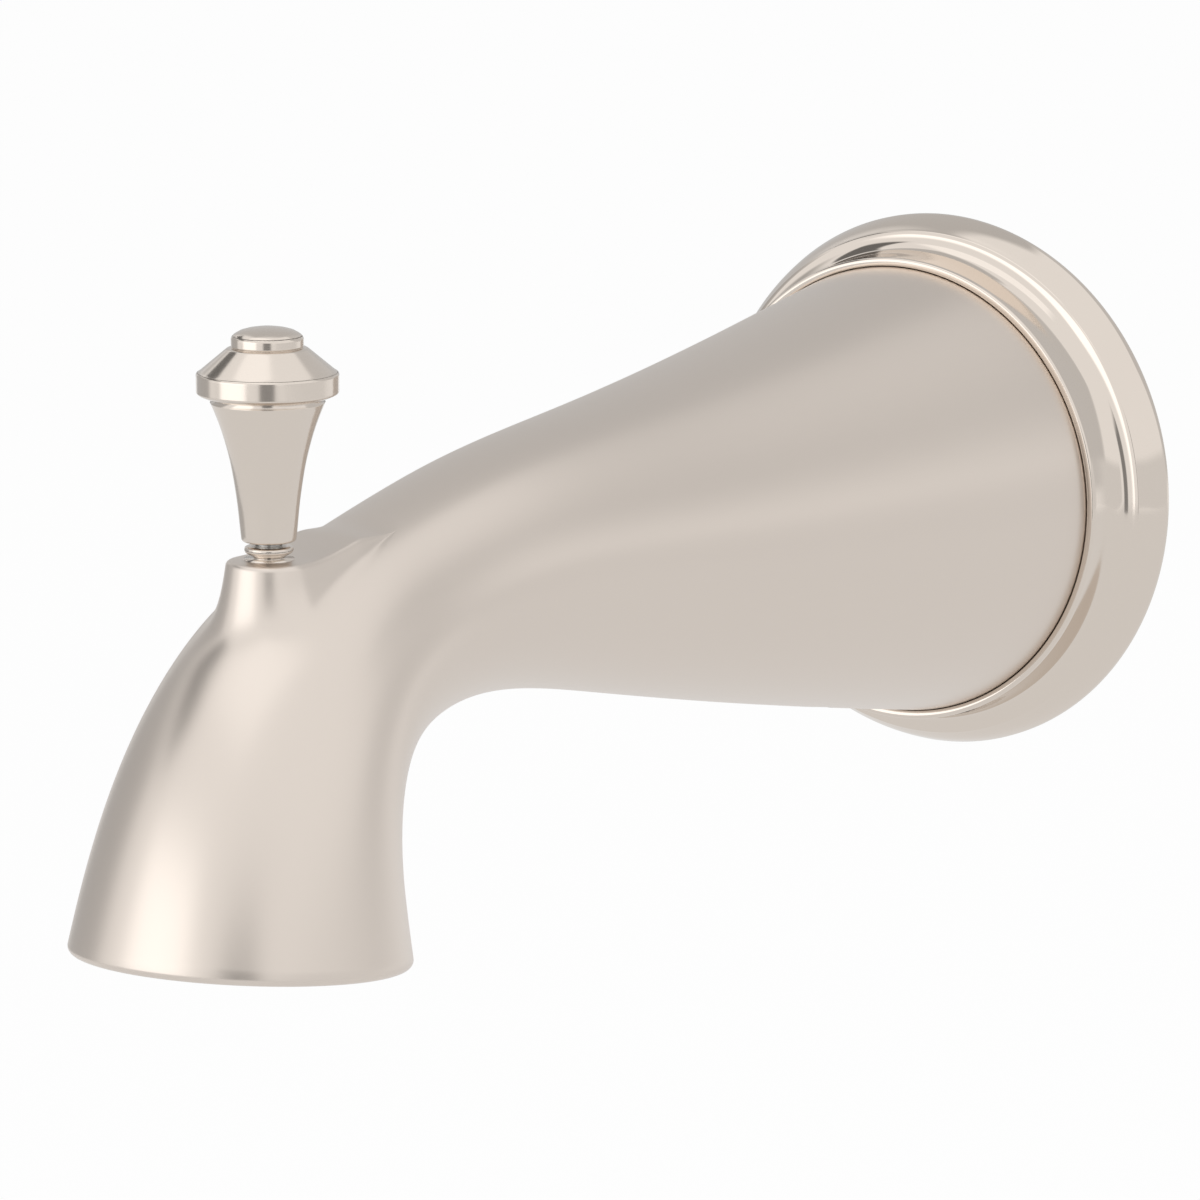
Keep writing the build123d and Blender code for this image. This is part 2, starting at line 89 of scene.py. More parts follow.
class NodeKit:
    """Small helpers for laying out one node tree."""

    def __init__(self, tree: NodeTree) -> None:
        """Keeps the tree that nodes are added to."""
        self.tree = tree

    def add(self, kind: str, values: dict[str | int, object] | None = None, **settings: object) -> Node:
        """Adds a node.

        Args:
            kind: the node's Blender type, without "ShaderNode" in front where it has that.
            values: the values of its unlinked inputs.
            settings: attributes to set on it.

        Returns:
            The new node.
        """
        node = self.tree.nodes.new(kind if kind.startswith("NodeGroup") else f"ShaderNode{kind}")
        for name, value in settings.items():
            setattr(node, name, value)
        for label, value in (values or {}).items():
            node.inputs[label].default_value = value
        return node

    def wire(self, *links: tuple[Node, str | int, Node, str | int]) -> None:
        """Links sockets, each link given as a node and its output, then a node and its input."""
        for source, output, target, entry in links:
            self.tree.links.new(source.outputs[output], target.inputs[entry])

    def mix_out(self, share: Node, base: Node, over: Node, out: Node) -> None:
        """Mixes one shader over another by a node's value, and puts the mix out."""
        mix = self.add("MixShader")
        self.wire((share, "Value", mix, 0), (base, 0, mix, 1), (over, 0, mix, 2), (mix, 0, out, "Surface"))


class MaterialKit(NodeKit):
    """A new material, with its shader and its output at hand."""

    def __init__(self, name: str) -> None:
        """Starts the material."""
        self.material = bpy.data.materials.new(name)
        self.material.use_nodes = True
        super().__init__(self.material.node_tree)
        self.shader = self.tree.nodes["Principled BSDF"]
        self.output = self.tree.nodes["Material Output"]


class EffectGroup(NodeKit):
    """A shader node group that gives a mask and a height from places on the object."""

    def __init__(self, name: str, inputs: dict[str, float]) -> None:
        """Starts the group.

        Args:
            name: its name.
            inputs: each number that it takes, with its default.
        """
        super().__init__(bpy.data.node_groups.new(name, "ShaderNodeTree"))
        for label, default in inputs.items():
            socket = self.tree.interface.new_socket(label, in_out="INPUT", socket_type="NodeSocketFloat")
            socket.default_value = default
        for label in ("Mask", "Height"):
            self.tree.interface.new_socket(label, in_out="OUTPUT", socket_type="NodeSocketFloat")
        self.entry = self.add("NodeGroupInput")
        self.leave = self.add("NodeGroupOutput")
        self.place = self.add("TexCoord")


def polish_haze() -> NodeTree:
    """Soft uneven haze of a polished or plated surface, with fine wiping marks."""
    kit = EffectGroup("polish_haze", {"Cloud Scale": 25.0, "Mark Scale": 900.0, "Mark Share": 0.35})
    cloud = kit.add("TexNoise", {"Detail": 3.0})
    marks = kit.add("TexNoise", {"Detail": 2.0})
    stretch = kit.add("Mapping", {"Scale": (1.0, 0.12, 1.0)})
    mix = kit.add("Mix", data_type="FLOAT")
    kit.wire(
        (kit.place, "Object", cloud, "Vector"),
        (kit.place, "Object", stretch, "Vector"),
        (stretch, "Vector", marks, "Vector"),
        (kit.entry, "Cloud Scale", cloud, "Scale"),
        (kit.entry, "Mark Scale", marks, "Scale"),
        (kit.entry, "Mark Share", mix, "Factor"),
        (cloud, "Fac", mix, "A"),
        (marks, "Fac", mix, "B"),
        (mix, "Result", kit.leave, "Mask"),
        (marks, "Fac", kit.leave, "Height"),
    )
    return kit.tree


def turning_marks() -> NodeTree:
    """Fine rings that a lathe leaves, in planes square to the wall's normal."""
    kit = EffectGroup("turning_marks", {"Ring Scale": 900.0, "Unevenness": 1.5})
    rings = kit.add("TexWave", {"Detail": 2.0}, bands_direction="Y")
    patches = kit.add("TexNoise", {"Scale": 90.0})
    kit.wire(
        (kit.place, "Object", rings, "Vector"),
        (kit.place, "Object", patches, "Vector"),
        (kit.entry, "Ring Scale", rings, "Scale"),
        (kit.entry, "Unevenness", rings, "Distortion"),
        (rings, "Fac", kit.leave, "Height"),
        (patches, "Fac", kit.leave, "Mask"),
    )
    return kit.tree


def moulded_grain() -> NodeTree:
    """The fine pitted skin of rubber, foam or moulded plastic."""
    kit = EffectGroup("moulded_grain", {"Pit Scale": 1500.0, "Patch Scale": 60.0})
    pits = kit.add("TexVoronoi")
    patches = kit.add("TexNoise")
    kit.wire(
        (kit.place, "Object", pits, "Vector"),
        (kit.place, "Object", patches, "Vector"),
        (kit.entry, "Pit Scale", pits, "Scale"),
        (kit.entry, "Patch Scale", patches, "Scale"),
        (pits, "Distance", kit.leave, "Height"),
        (patches, "Fac", kit.leave, "Mask"),
    )
    return kit.tree


@dataclass(frozen=True)
class Finish:
    """One finish: its two close tones, its gloss, and the marks on its surface."""

    name: str
    slot: str
    tone: Rgb
    second_tone: Rgb
    metallic: float
    smooth: float
    hazy: float
    relief: float
    relief_depth: float
    effect: Callable[[], NodeTree]
    settings: dict[str, float] = field(default_factory=dict)

    def make(self, groups: dict[str, NodeTree]) -> Material:
        """Builds the material.

        Args:
            groups: the effect groups made so far, by the name of the function that makes each.

        Returns:
            The material, with its colour, roughness and relief from the effect's mask and height.
        """
        key = self.effect.__name__
        if key not in groups:
            groups[key] = self.effect()
        kit = MaterialKit(self.name)
        kit.shader.inputs["Metallic"].default_value = self.metallic
        marks = kit.add("Group", self.settings, node_tree=groups[key])
        colour = kit.add("Mix", data_type="RGBA")
        colour.inputs["A"].default_value = (*self.tone, 1.0)
        colour.inputs["B"].default_value = (*self.second_tone, 1.0)
        gloss = kit.add("MapRange", {"To Min": self.smooth, "To Max": self.hazy})
        bump = kit.add("Bump", {"Strength": self.relief, "Distance": self.relief_depth})
        kit.wire(
            (marks, "Mask", colour, "Factor"),
            (colour, "Result", kit.shader, "Base Color"),
            (marks, "Mask", gloss, "Value"),
            (gloss, "Result", kit.shader, "Roughness"),
            (marks, "Height", bump, "Height"),
            (bump, "Normal", kit.shader, "Normal"),
        )
        return kit.material


CAST_NICKEL = Finish(
    "satin_nickel_casting", "polished_nickel", (0.728, 0.655, 0.592), (0.748, 0.677, 0.613),
    1.0, 0.27, 0.34, 0.02, 0.00002, polish_haze,
    {"Cloud Scale": 22.0, "Mark Scale": 1400.0, "Mark Share": 0.3},
)
BRIGHT_NICKEL = Finish(
    "bright_nickel_trim", "polished_nickel", (0.728, 0.655, 0.588), (0.748, 0.677, 0.608),
    1.0, 0.045, 0.085, 0.015, 0.00001, polish_haze,
    {"Cloud Scale": 40.0, "Mark Scale": 1800.0, "Mark Share": 0.3},
)
BUFFED_NICKEL = Finish(
    "buffed_nickel_knob", "polished_nickel", (0.728, 0.655, 0.588), (0.748, 0.677, 0.608),
    1.0, 0.12, 0.17, 0.015, 0.00001, polish_haze,
    {"Cloud Scale": 60.0, "Mark Scale": 1800.0, "Mark Share": 0.3},
)
TURNED_BRASS = Finish(
    "turned_brass", "brass", (0.70, 0.50, 0.21), (0.60, 0.41, 0.16),
    1.0, 0.18, 0.36, 0.25, 0.00003, turning_marks, {"Ring Scale": 700.0},
)
BRIGHT_STEEL = Finish(
    "bright_steel", "steel", (0.60, 0.59, 0.57), (0.50, 0.50, 0.49),
    1.0, 0.16, 0.30, 0.12, 0.00002, turning_marks, {"Ring Scale": 1200.0},
)
BLACK_RUBBER = Finish(
    "black_rubber", "black_rubber", (0.022, 0.022, 0.023), (0.036, 0.035, 0.034),
    0.0, 0.50, 0.68, 0.2, 0.00004, moulded_grain, {"Pit Scale": 1800.0},
)
CLOSED_FOAM = Finish(
    "closed_foam", "foam", (0.070, 0.070, 0.072), (0.115, 0.115, 0.116),
    0.0, 0.82, 0.95, 0.7, 0.00015, moulded_grain, {"Pit Scale": 900.0},
)
WHITE_ACETAL = Finish(
    "white_acetal", "acetal", (0.78, 0.77, 0.73), (0.70, 0.69, 0.64),
    0.0, 0.34, 0.46, 0.1, 0.00003, moulded_grain, {"Pit Scale": 1300.0},
)


class FinishShelf:
    """Keeps each material and each effect group, made once."""

    def __init__(self) -> None:
        """Starts with nothing made."""
        self.groups: dict[str, NodeTree] = {}
        self.materials: dict[str, Material] = {}

    def get(self, finish: Finish) -> Material:
        """Gives a finish's material, and makes it the first time."""
        if finish.name not in self.materials:
            self.materials[finish.name] = finish.make(self.groups)
        return self.materials[finish.name]


# Making meshes


def mesh_data(mesh: BMesh, name: str) -> Mesh:
    """Makes mesh data of a mesh, which is used up."""
    data = bpy.data.meshes.new(name)
    mesh.to_mesh(data)
    mesh.free()
    return data


def linked_object(name: str, data: ID) -> Object:
    """Makes an object and links it to the scene."""
    made = bpy.data.objects.new(name, data)
    bpy.context.scene.collection.objects.link(made)
    return made


def merged(mesh: BMesh) -> None:
    """Makes one point of those that lie very close together."""
    bmesh.ops.remove_doubles(mesh, verts=mesh.verts, dist=MERGE)


def finish_piece(
    mesh: BMesh,
    name: str,
    finish: Finish,
    shelf: FinishShelf,
    carrier: Carrier,
    node: str,
) -> Object:
    """Turns a mesh in millimetres into a finished piece of the scene.

    Args:
        mesh: the mesh, which is used up.
        name: the piece's name.
        finish: its finish.
        shelf: where materials are kept.
        carrier: the body that it rides on.
        node: the solid part that it stands for.

    Returns:
        The piece, at the origin, in metres.
    """
    merged(mesh)
    bmesh.ops.dissolve_degenerate(mesh, dist=MERGE * 0.5, edges=mesh.edges)
    bmesh.ops.recalc_face_normals(mesh, faces=mesh.faces)
    bmesh.ops.scale(mesh, vec=(MM, MM, MM), verts=mesh.verts)
    for face in mesh.faces:
        face.smooth = True
    open_edges = sum(1 for edge in mesh.edges if not edge.is_manifold)
    piece = linked_object(name, mesh_data(mesh, name))
    piece.data.materials.append(shelf.get(finish))
    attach(piece, carrier.value)
    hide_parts(node)
    LOG.info("%s: %d faces, %d open edges", name, len(piece.data.polygons), open_edges)
    return piece


def laid_sheet(mesh: BMesh, across: int, along: int, place: Callable[[int, int], Vector]) -> None:
    """Adds a grid and moves each of its points to its place.

    Args:
        mesh: the mesh that it is added to.
        across: how many faces wide the grid is.
        along: how many faces long the grid is.
        place: gives a point's place from its column and row.
    """
    made = bmesh.ops.create_grid(mesh, x_segments=across, y_segments=along, size=1.0)
    for point in made["verts"]:
        column = round((point.co.x + 1.0) / 2.0 * across)
        row = round((point.co.y + 1.0) / 2.0 * along)
        point.co = place(column, row)


def carved(mesh: BMesh, tool: BMesh, operation: str = "DIFFERENCE") -> BMesh:
    """Cuts one closed mesh with another.

    Args:
        mesh: the mesh that is cut, which is used up.
        tool: the closed mesh that cuts it, which is used up.
        operation: DIFFERENCE or INTERSECT.

    Returns:
        The cut mesh.
    """
    objects = []
    for part in (mesh, tool):
        bmesh.ops.recalc_face_normals(part, faces=part.faces)
        objects.append(linked_object("cutting", mesh_data(part, "cutting")))
    cut = objects[0].modifiers.new("cut", "BOOLEAN")
    cut.operation = operation
    cut.solver = "EXACT"
    cut.object = objects[1]
    bpy.context.view_layer.update()
    evaluated = objects[0].evaluated_get(bpy.context.evaluated_depsgraph_get())
    result = bmesh.new()
    result.from_mesh(evaluated.to_mesh())
    for leftover in objects:
        data = leftover.data
        bpy.data.objects.remove(leftover)
        bpy.data.meshes.remove(data)
    return result


def added(mesh: BMesh, other: BMesh) -> None:
    """Adds another mesh's closed shells to a mesh, and uses it up."""
    bmesh.ops.recalc_face_normals(other, faces=other.faces)
    data = mesh_data(other, "adding")
    mesh.from_mesh(data)
    bpy.data.meshes.remove(data)


def add_bar(mesh: BMesh, radius: float, length: float, place: Matrix, sides: int) -> None:
    """Adds a closed round bar, upright in its own place."""
    bmesh.ops.create_cone(
        mesh, cap_ends=True, segments=sides, radius1=radius, radius2=radius, depth=length, matrix=place
    )


def out_rod(radius: float, start: float, end: float, height: float = 0.0) -> BMesh:
    """A closed round bar square to the wall, from one reach to another at a height."""
    rod = bmesh.new()
    place = Matrix.Translation((0.0, -(start + end) / 2, height)) @ Matrix.Rotation(QUARTER, 4, "X")
    add_bar(rod, radius, end - start, place, 96)
    return rod


def block(half_width: float, start: float, end: float, bottom: float, top: float) -> BMesh:
    """A closed block centred across the spout, from one reach to another and one height to another."""
    made = bmesh.new()
    size = Matrix.Diagonal((2 * half_width, end - start, top - bottom, 1.0))
    place = Matrix.Translation((0.0, -(start + end) / 2, (bottom + top) / 2))
    bmesh.ops.create_cube(made, size=1.0, matrix=place @ size)
    return made


class SmoothLine:
    """A value that runs through given ones with no sudden change of curvature."""

    def __init__(self, places: Sequence[float], values: Sequence[float]) -> None:
        """Works out the curvature at each given place.

        Args:
            places: where the values are given, rising.
            values: the value at each place.
        """
        self.places, self.values = places, values
        count = len(places)
        matrix = np.eye(count)
        right = np.zeros(count)
        for i in range(1, count - 1):
            before, after = places[i] - places[i - 1], places[i + 1] - places[i]
            matrix[i, i - 1 : i + 2] = (before, 2 * (before + after), after)
            right[i] = 6 * ((values[i + 1] - values[i]) / after - (values[i] - values[i - 1]) / before)
        self.bends = np.linalg.solve(matrix, right).tolist()

    def at(self, place: float) -> float:
        """Gives the value at a place."""
        i = 0
        while i < len(self.places) - 2 and place > self.places[i + 1]:
            i += 1
        run = self.places[i + 1] - self.places[i]
        left = (self.places[i + 1] - place) / run
        right = (place - self.places[i]) / run
        curve = (left**3 - left) * self.bends[i] + (right**3 - right) * self.bends[i + 1]
        return left * self.values[i] + right * self.values[i + 1] + curve * run * run / 6


def eased(share: float) -> float:
    """A share from 0 to 1 that starts and ends gently."""
    share = min(max(share, 0.0), 1.0)
    return share * share * (3 - 2 * share)


def bezier(start: Vector, pull: Vector, next_pull: Vector, end: Vector, share: float) -> Vector:
    """The point at a share of the way along a curve with two pulls."""
    a = start.lerp(pull, share)
    b = pull.lerp(next_pull, share)
    c = next_pull.lerp(end, share)
    return a.lerp(b, share).lerp(b.lerp(c, share), share)


def over(spot: Vector, height: float) -> Vector:
    """The point at a height over a spot of the plan, which is given as (x, reach)."""
    return Vector((spot.x, -spot.y, height))


@dataclass(frozen=True)
class Corner:
    """One corner of a turned outline, and how far its edge is rounded."""

    radius: float
    along: float
    round: float = 0.0


def rounded_outline(corners: Sequence[Corner], steps: int = 5) -> list[tuple[float, float]]:
    """Rounds the corners of an open outline.

    Args:
        corners: its corners in order.
        steps: how many short pieces each rounding has.

    Returns:
        The points of the outline, with close ones beside each rounding so that flat parts shade flat.
    """
    most, lead = 0.45, 0.35
    points: list[tuple[float, float]] = []
    for i, corner in enumerate(corners):
        here = Vector((corner.radius, corner.along))
        if corner.round <= 0 or i in (0, len(corners) - 1):
            points.append((here.x, here.y))
            continue
        before = Vector((corners[i - 1].radius, corners[i - 1].along)) - here
        after = Vector((corners[i + 1].radius, corners[i + 1].along)) - here
        reach = min(corner.round, most * before.length, most * after.length)
        start = here + before.normalized() * reach
        end = here + after.normalized() * reach
        points.append(tuple(start + before.normalized() * reach * lead))
        for step in range(steps + 1):
            share = step / steps
            a = start.lerp(here, share)
            b = here.lerp(end, share)
            points.append(tuple(a.lerp(b, share)))
        points.append(tuple(end + after.normalized() * reach * lead))
    return points


def turned(
    outline: Sequence[tuple[float, float]], turning: Turning, steps: int, reach: float = 0.0
) -> BMesh:
    """Spins an outline into a closed turned shape.

    Args:
        outline: (radius, place along the axis) of each point. A closed one ends where it starts.
        turning: the axis that it is turned about.
        steps: the number of steps round the axis.
        reach: how far from the wall an upright axis stands.

    Returns:
        The closed mesh.
    """
    upright = turning is Turning.UP_THE_KNOB
    mesh = bmesh.new()
    points = [
        mesh.verts.new((radius, -reach, along) if upright else (radius, -along, 0.0))
        for radius, along in outline
    ]
    off_axis = [pair for pair in zip(points, points[1:]) if pair[0].co.x > 0 or pair[1].co.x > 0]
    edges = [mesh.edges.new(pair) for pair in off_axis]
    axis = (0.0, 0.0, 1.0) if upright else (0.0, 1.0, 0.0)
    bmesh.ops.spin(
        mesh, geom=points + edges, cent=(0.0, -reach, 0.0), axis=axis, angle=2 * math.pi, steps=steps,
        use_merge=True, use_duplicate=False,
    )
    merged(mesh)
    return mesh


# The casting


@dataclass(frozen=True)
class Section:
    """One round section of the spout: where its centre is, its droop in degrees, and its radius."""

    reach: float
    height: float
    droop: float
    radius: float

    def upper_skin(self, x: float) -> tuple[float, float]:
        """The reach and the height of its upper skin at a given x."""
        across = math.sqrt(max(self.radius**2 - x * x, 0.0))
        droop = math.radians(self.droop)
        return self.reach + across * math.sin(droop), self.height + across * math.cos(droop)


@dataclass
class SpoutCasting:
    """The cast body: cone, bend, nose, boss and shelf, with its hollow, web, bulkhead and gate rails."""

    shelf: FinishShelf
    wall: float = 2.7
    rim_round: float = 0.9
    inner_round: float = 0.35
    boss_radius: float = 5.3
    edge_half: float = 5.0
    edge_round: float = 0.65
    patch_back: float = 129.5
    patch_blend: float = 8.0
    shelf_lift: float = 2.35
    lift_run: float = 17.5
    crown: float = 0.3
    flank_side: float = 4.4
    flank_front: float = 5.4
    flank_top_pull: tuple[float, float] = (0.20, 0.6)
    flank_foot_pull: tuple[float, float] = (0.34, 0.66)
    flank_growth: float = 0.85
    cap_gather: float = 1.6
    cap_gap: float = 1.15
    round_share: float = 0.4
    slope_step: float = 0.4
    halvings: int = 34
    cap_columns: int = 8
    edge_columns: int = 5
    flank_columns: int = 14
    side_columns: int = 60
    stations: tuple[Section, ...] = (
        Section(EDGE_REACH, 0.0, 0.0, 30.6),
        Section(43.98, 0.5, -1.8, 24.9),
        Section(80.99, 1.9, -2.2, 18.8),
        Section(107.5, 2.3, 3.0, 15.0),
        Section(127.5, -1.0, 17.0, 13.7),
        Section(141.5, -7.4, 38.0, 15.15),
        Section(149.6, -18.4, 57.3, 17.55),
        Section(154.9, -38.3, 86.1, 21.2),
    )

    def __post_init__(self) -> None:
        """Runs smooth lines through the stations."""
        places = [0.0]
        for before, after in zip(self.stations, self.stations[1:]):
            places.append(places[-1] + math.hypot(after.reach - before.reach, after.height - before.height))
        self.length = places[-1]
        self.lines = [SmoothLine(places, values) for values in zip(*(astuple(s) for s in self.stations))]

    def section(self, place: float) -> Section:
        """The section at a place along the spout's middle line."""
        return Section(*(line.at(place) for line in self.lines))

    def skin_point(self, place: float, turn: float, inset: float = 0.0, shift: float = 0.0) -> Vector:
        """A point on the round skin.

        Args:
            place: how far along the middle line.
            turn: the angle from the top, in radians.
            inset: how far inside the skin.
            shift: how far along the section's own axis.

        Returns:
            The point in millimetres.
        """
        s = self.section(place)
        droop = math.radians(s.droop)
        radius = s.radius - inset
        up = radius * math.cos(turn)
        reach = s.reach + up * math.sin(droop) + shift * math.cos(droop)
        height = s.height + up * math.cos(droop) - shift * math.sin(droop)
        return Vector((radius * math.sin(turn), -reach, height))

    def place_under(self, x: float, reach: float) -> float:
        """The place whose section has its upper skin at a given x and reach."""
        low, high = 0.0, self.length
        for _ in range(self.halvings):
            middle = (low + high) / 2
            if self.section(middle).upper_skin(x)[0] < reach:
                low = middle
            else:
                high = middle
        return (low + high) / 2

    def skin_height(self, x: float, reach: float) -> float:
        """The height of the upper skin over a point of the plan."""
        return self.section(self.place_under(x, reach)).upper_skin(x)[1]

    def cap_height(self, x: float, reach: float) -> float:
        """The height of the boss and shelf over a point of the plan, which becomes the skin at the back."""
        blend = eased((reach - self.patch_back) / self.patch_blend)
        lift = self.shelf_lift * (1 - eased((reach - self.patch_back) / self.lift_run))
        aside = math.hypot(x, max(reach - KNOB_REACH, 0.0)) / self.edge_half
        shelf = BOSS_TOP + lift - self.crown * aside**2
        if blend >= 1:
            return shelf
        return self.skin_height(x, reach) * (1 - blend) + shelf * blend

    def edge_and_foot(self, row: int, straight: int, round_rows: int) -> tuple[Vector, Vector, Vector]:
        """Where a row of the boss has its top edge, its flank's foot and the middle of its cap, in plan.

        Args:
            row: the row, counted from the back of the shelf.
            straight: how many rows the straight side has.
            round_rows: how many rows the round front has.

        Returns:
            The edge, the foot and the middle as (x, reach).
        """
        if row <= straight:
            share = row / straight
            reach = self.patch_back + (KNOB_REACH - self.patch_back) * share
            edge = Vector((self.edge_half + (self.boss_radius - self.edge_half) * eased(share), reach))
            foot = edge + Vector((self.flank_side * share**self.flank_growth, 0.0))
            return edge, foot, Vector((0.0, reach))
        turn = QUARTER * (1 - (row - straight) / round_rows)
        spread = self.flank_side + (self.flank_front - self.flank_side) * (1 - (turn / QUARTER) ** 2)
        way = Vector((math.sin(turn), math.cos(turn)))
        centre = Vector((0.0, KNOB_REACH))
        return centre + way * self.boss_radius, centre + way * (self.boss_radius + spread), centre

    def boss_row(self, edge: Vector, foot: Vector, middle: Vector) -> list[Vector]:
        """The points of one row of the boss, from the middle of its cap down to the foot of its flank.

        Args:
            edge: the row's top edge, as (x, reach).
            foot: the foot of its flank, as (x, reach).
            middle: the middle of its cap, as (x, reach).

        Returns:
            The points, the last one twice.
        """
        top = self.cap_height(edge.x, edge.y)
        low = self.skin_height(foot.x, foot.y)
        spread = (foot - edge).length
        fall = top - low
        edge_round = min(self.edge_round, self.round_share * fall, self.round_share * spread)
        inward = (middle - edge).normalized()
        cap_end = edge + inward * edge_round * self.cap_gap
        row = []
        for column in range(self.cap_columns):
            share = column / self.cap_columns
            spot = middle.lerp(cap_end, 1 - (1 - share) ** self.cap_gather if column else 0.0)
            row.append(over(spot, self.cap_height(spot.x, spot.y)))
        inner = edge + inward * edge_round
        inner_top = self.cap_height(inner.x, inner.y)
        for column in range(self.edge_columns):
            turn = QUARTER * column / (self.edge_columns - 1)
            spot = inner - inward * edge_round * math.sin(turn)
            row.append(over(spot, inner_top - edge_round * (1 - math.cos(turn))))
        if spread < MERGE / 2:
            return row + [over(foot, low)] * (self.flank_columns + 1)
        outward = (foot - edge) / spread
        just_in = foot - outward * self.slope_step
        slope = (low - self.skin_height(just_in.x, just_in.y)) / self.slope_step
        out_share, down_share = self.flank_top_pull
        in_share, under_share = self.flank_foot_pull
        start = Vector((0.0, top - edge_round))
        pull_down = Vector((out_share * spread, top - edge_round - down_share * (fall - edge_round)))
        pull_in = Vector((spread * in_share, low - slope * spread * under_share))
        end = Vector((spread, low))
        for column in range(1, self.flank_columns + 1):
            curve = bezier(start, pull_down, pull_in, end, column / self.flank_columns)
            row.append(over(edge + outward * curve.x, curve.y))
        return row + [row[-1]]

    def half_skin(self, mesh: BMesh) -> list[float]:
        """Lays the +X half of the outer skin, with the boss and shelf raised out of it.

        Args:
            mesh: the mesh that it is added to.

        Returns:
            The angles of the last ring's points.
        """
        straight, round_rows = 30, 22
        back_place = self.place_under(self.edge_half, self.patch_back)
        behind = 84
        rows: list[tuple[float, float, list[Vector] | None]] = []
        for i in range(behind):
            place = back_place * i / behind
            half = min(self.edge_half, self.section(place).radius)
            rows.append((place, math.asin(half / self.section(place).radius), None))
        for i in range(straight + round_rows + 1):
            edge, foot, middle = self.edge_and_foot(i, straight, round_rows)
            place = self.place_under(foot.x, foot.y)
            turn = math.asin(min(1.0, foot.x / self.section(place).radius))
            rows.append((place, turn, self.boss_row(edge, foot, middle)))
        tip_row = len(rows) - 1
        tip = rows[-1][0]
        last = self.length - self.rim_round
        ahead = 30
        rows += [(tip + (last - tip) * i / ahead, 0.0, None) for i in range(1, ahead + 1)]

        def on_side(column: int, row: int) -> Vector:
            """A point of the round skin beside and below the boss."""
            place, turn, _ = rows[row]
            return self.skin_point(place, turn + (math.pi - turn) * column / self.side_columns)

        def on_top(column: int, row: int) -> Vector:
            """A point of the skin on top, which the boss and shelf raise."""
            place, turn, raised = rows[row]
            if raised is not None:
                return raised[column]
            return self.skin_point(place, turn * min(1.0, column / (self.cap_columns + 1)))

        laid_sheet(mesh, self.side_columns, len(rows) - 1, on_side)
        top_columns = self.cap_columns + self.edge_columns + self.flank_columns
        laid_sheet(mesh, top_columns, tip_row, on_top)
        return [math.pi * column / self.side_columns for column in range(self.side_columns + 1)]

    def half_rim_and_hollow(self, mesh: BMesh, turns: list[float]) -> None:
        """Lays the +X half of the rounded rim and of the hollow inside.

        Args:
            mesh: the mesh that it is added to.
            turns: the angles of the last ring of the skin.
        """
        last = self.length - self.rim_round
        hollow, outer_steps, inner_steps = 70, 6, 4
        rim: list[tuple[float, float]] = []
        for step in range(outer_steps + 1):
            turn = QUARTER * step / outer_steps
            rim.append((self.rim_round * (1 - math.cos(turn)), self.rim_round * math.sin(turn)))
        for step in range(inner_steps + 1):
            turn = QUARTER * step / inner_steps
            inset = self.wall - self.inner_round * (1 - math.sin(turn))
            rim.append((inset, self.rim_round - self.inner_round * (1 - math.cos(turn))))

        def on_rim(column: int, row: int) -> Vector:
            """A point of the rounded rim."""
            return self.skin_point(last, turns[column], *rim[row])

        def in_hollow(column: int, row: int) -> Vector:
            """A point of the hollow, whose first row is the rim's last."""
            if row == 0:
                return on_rim(column, len(rim) - 1)
            return self.skin_point(last * (1 - row / hollow), turns[column], self.wall)

        laid_sheet(mesh, self.side_columns, len(rim) - 1, on_rim)
        laid_sheet(mesh, self.side_columns, hollow, in_hollow)

    def shell(self) -> BMesh:
        """The whole thin wall of the casting, closed at the rim and at the wall end."""
        mesh = bmesh.new()
        turns = self.half_skin(mesh)
        self.half_rim_and_hollow(mesh, turns)
        merged(mesh)
        for point in mesh.verts:
            if abs(point.co.x) < 5 * MERGE:
                point.co.x = 0.0
        bmesh.ops.mirror(mesh, geom=mesh.verts[:] + mesh.edges[:] + mesh.faces[:], axis="X", merge_dist=MERGE)
        merged(mesh)
        back = [edge for edge in mesh.edges if edge.is_boundary and edge.verts[0].co.y > -EDGE_REACH - 0.5]
        bmesh.ops.bridge_loops(mesh, edges=back)
        bmesh.ops.recalc_face_normals(mesh, faces=mesh.faces)
        return mesh

    def key_hole(self) -> BMesh:
        """The upright tool that cuts the set screw's key hole from below."""
        tool = bmesh.new()
        radius, length, screw_reach, middle = 3.8, 22.0, 33.0, -26.0
        add_bar(tool, radius, length, Matrix.Translation((0.0, -screw_reach, middle)), 64)
        return tool

    def tail(self) -> BMesh:
        """The spigot behind the cone's edge, with the groove for its seal ring."""
        outer, inner, groove = 28.2, 25.2, 26.31
        back, ring_back, ring_front, front = 2.5, 5.2, 7.5, 16.2
        corners = [
            Corner(inner, front), Corner(inner, back, 0.3), Corner(outer, back, 0.5),
            Corner(outer, ring_back), Corner(groove, ring_back), Corner(groove, ring_front),
            Corner(outer, ring_front), Corner(outer, front), Corner(inner, front),
        ]
        return turned(rounded_outline(corners), Turning.OUT_FROM_WALL, 144)

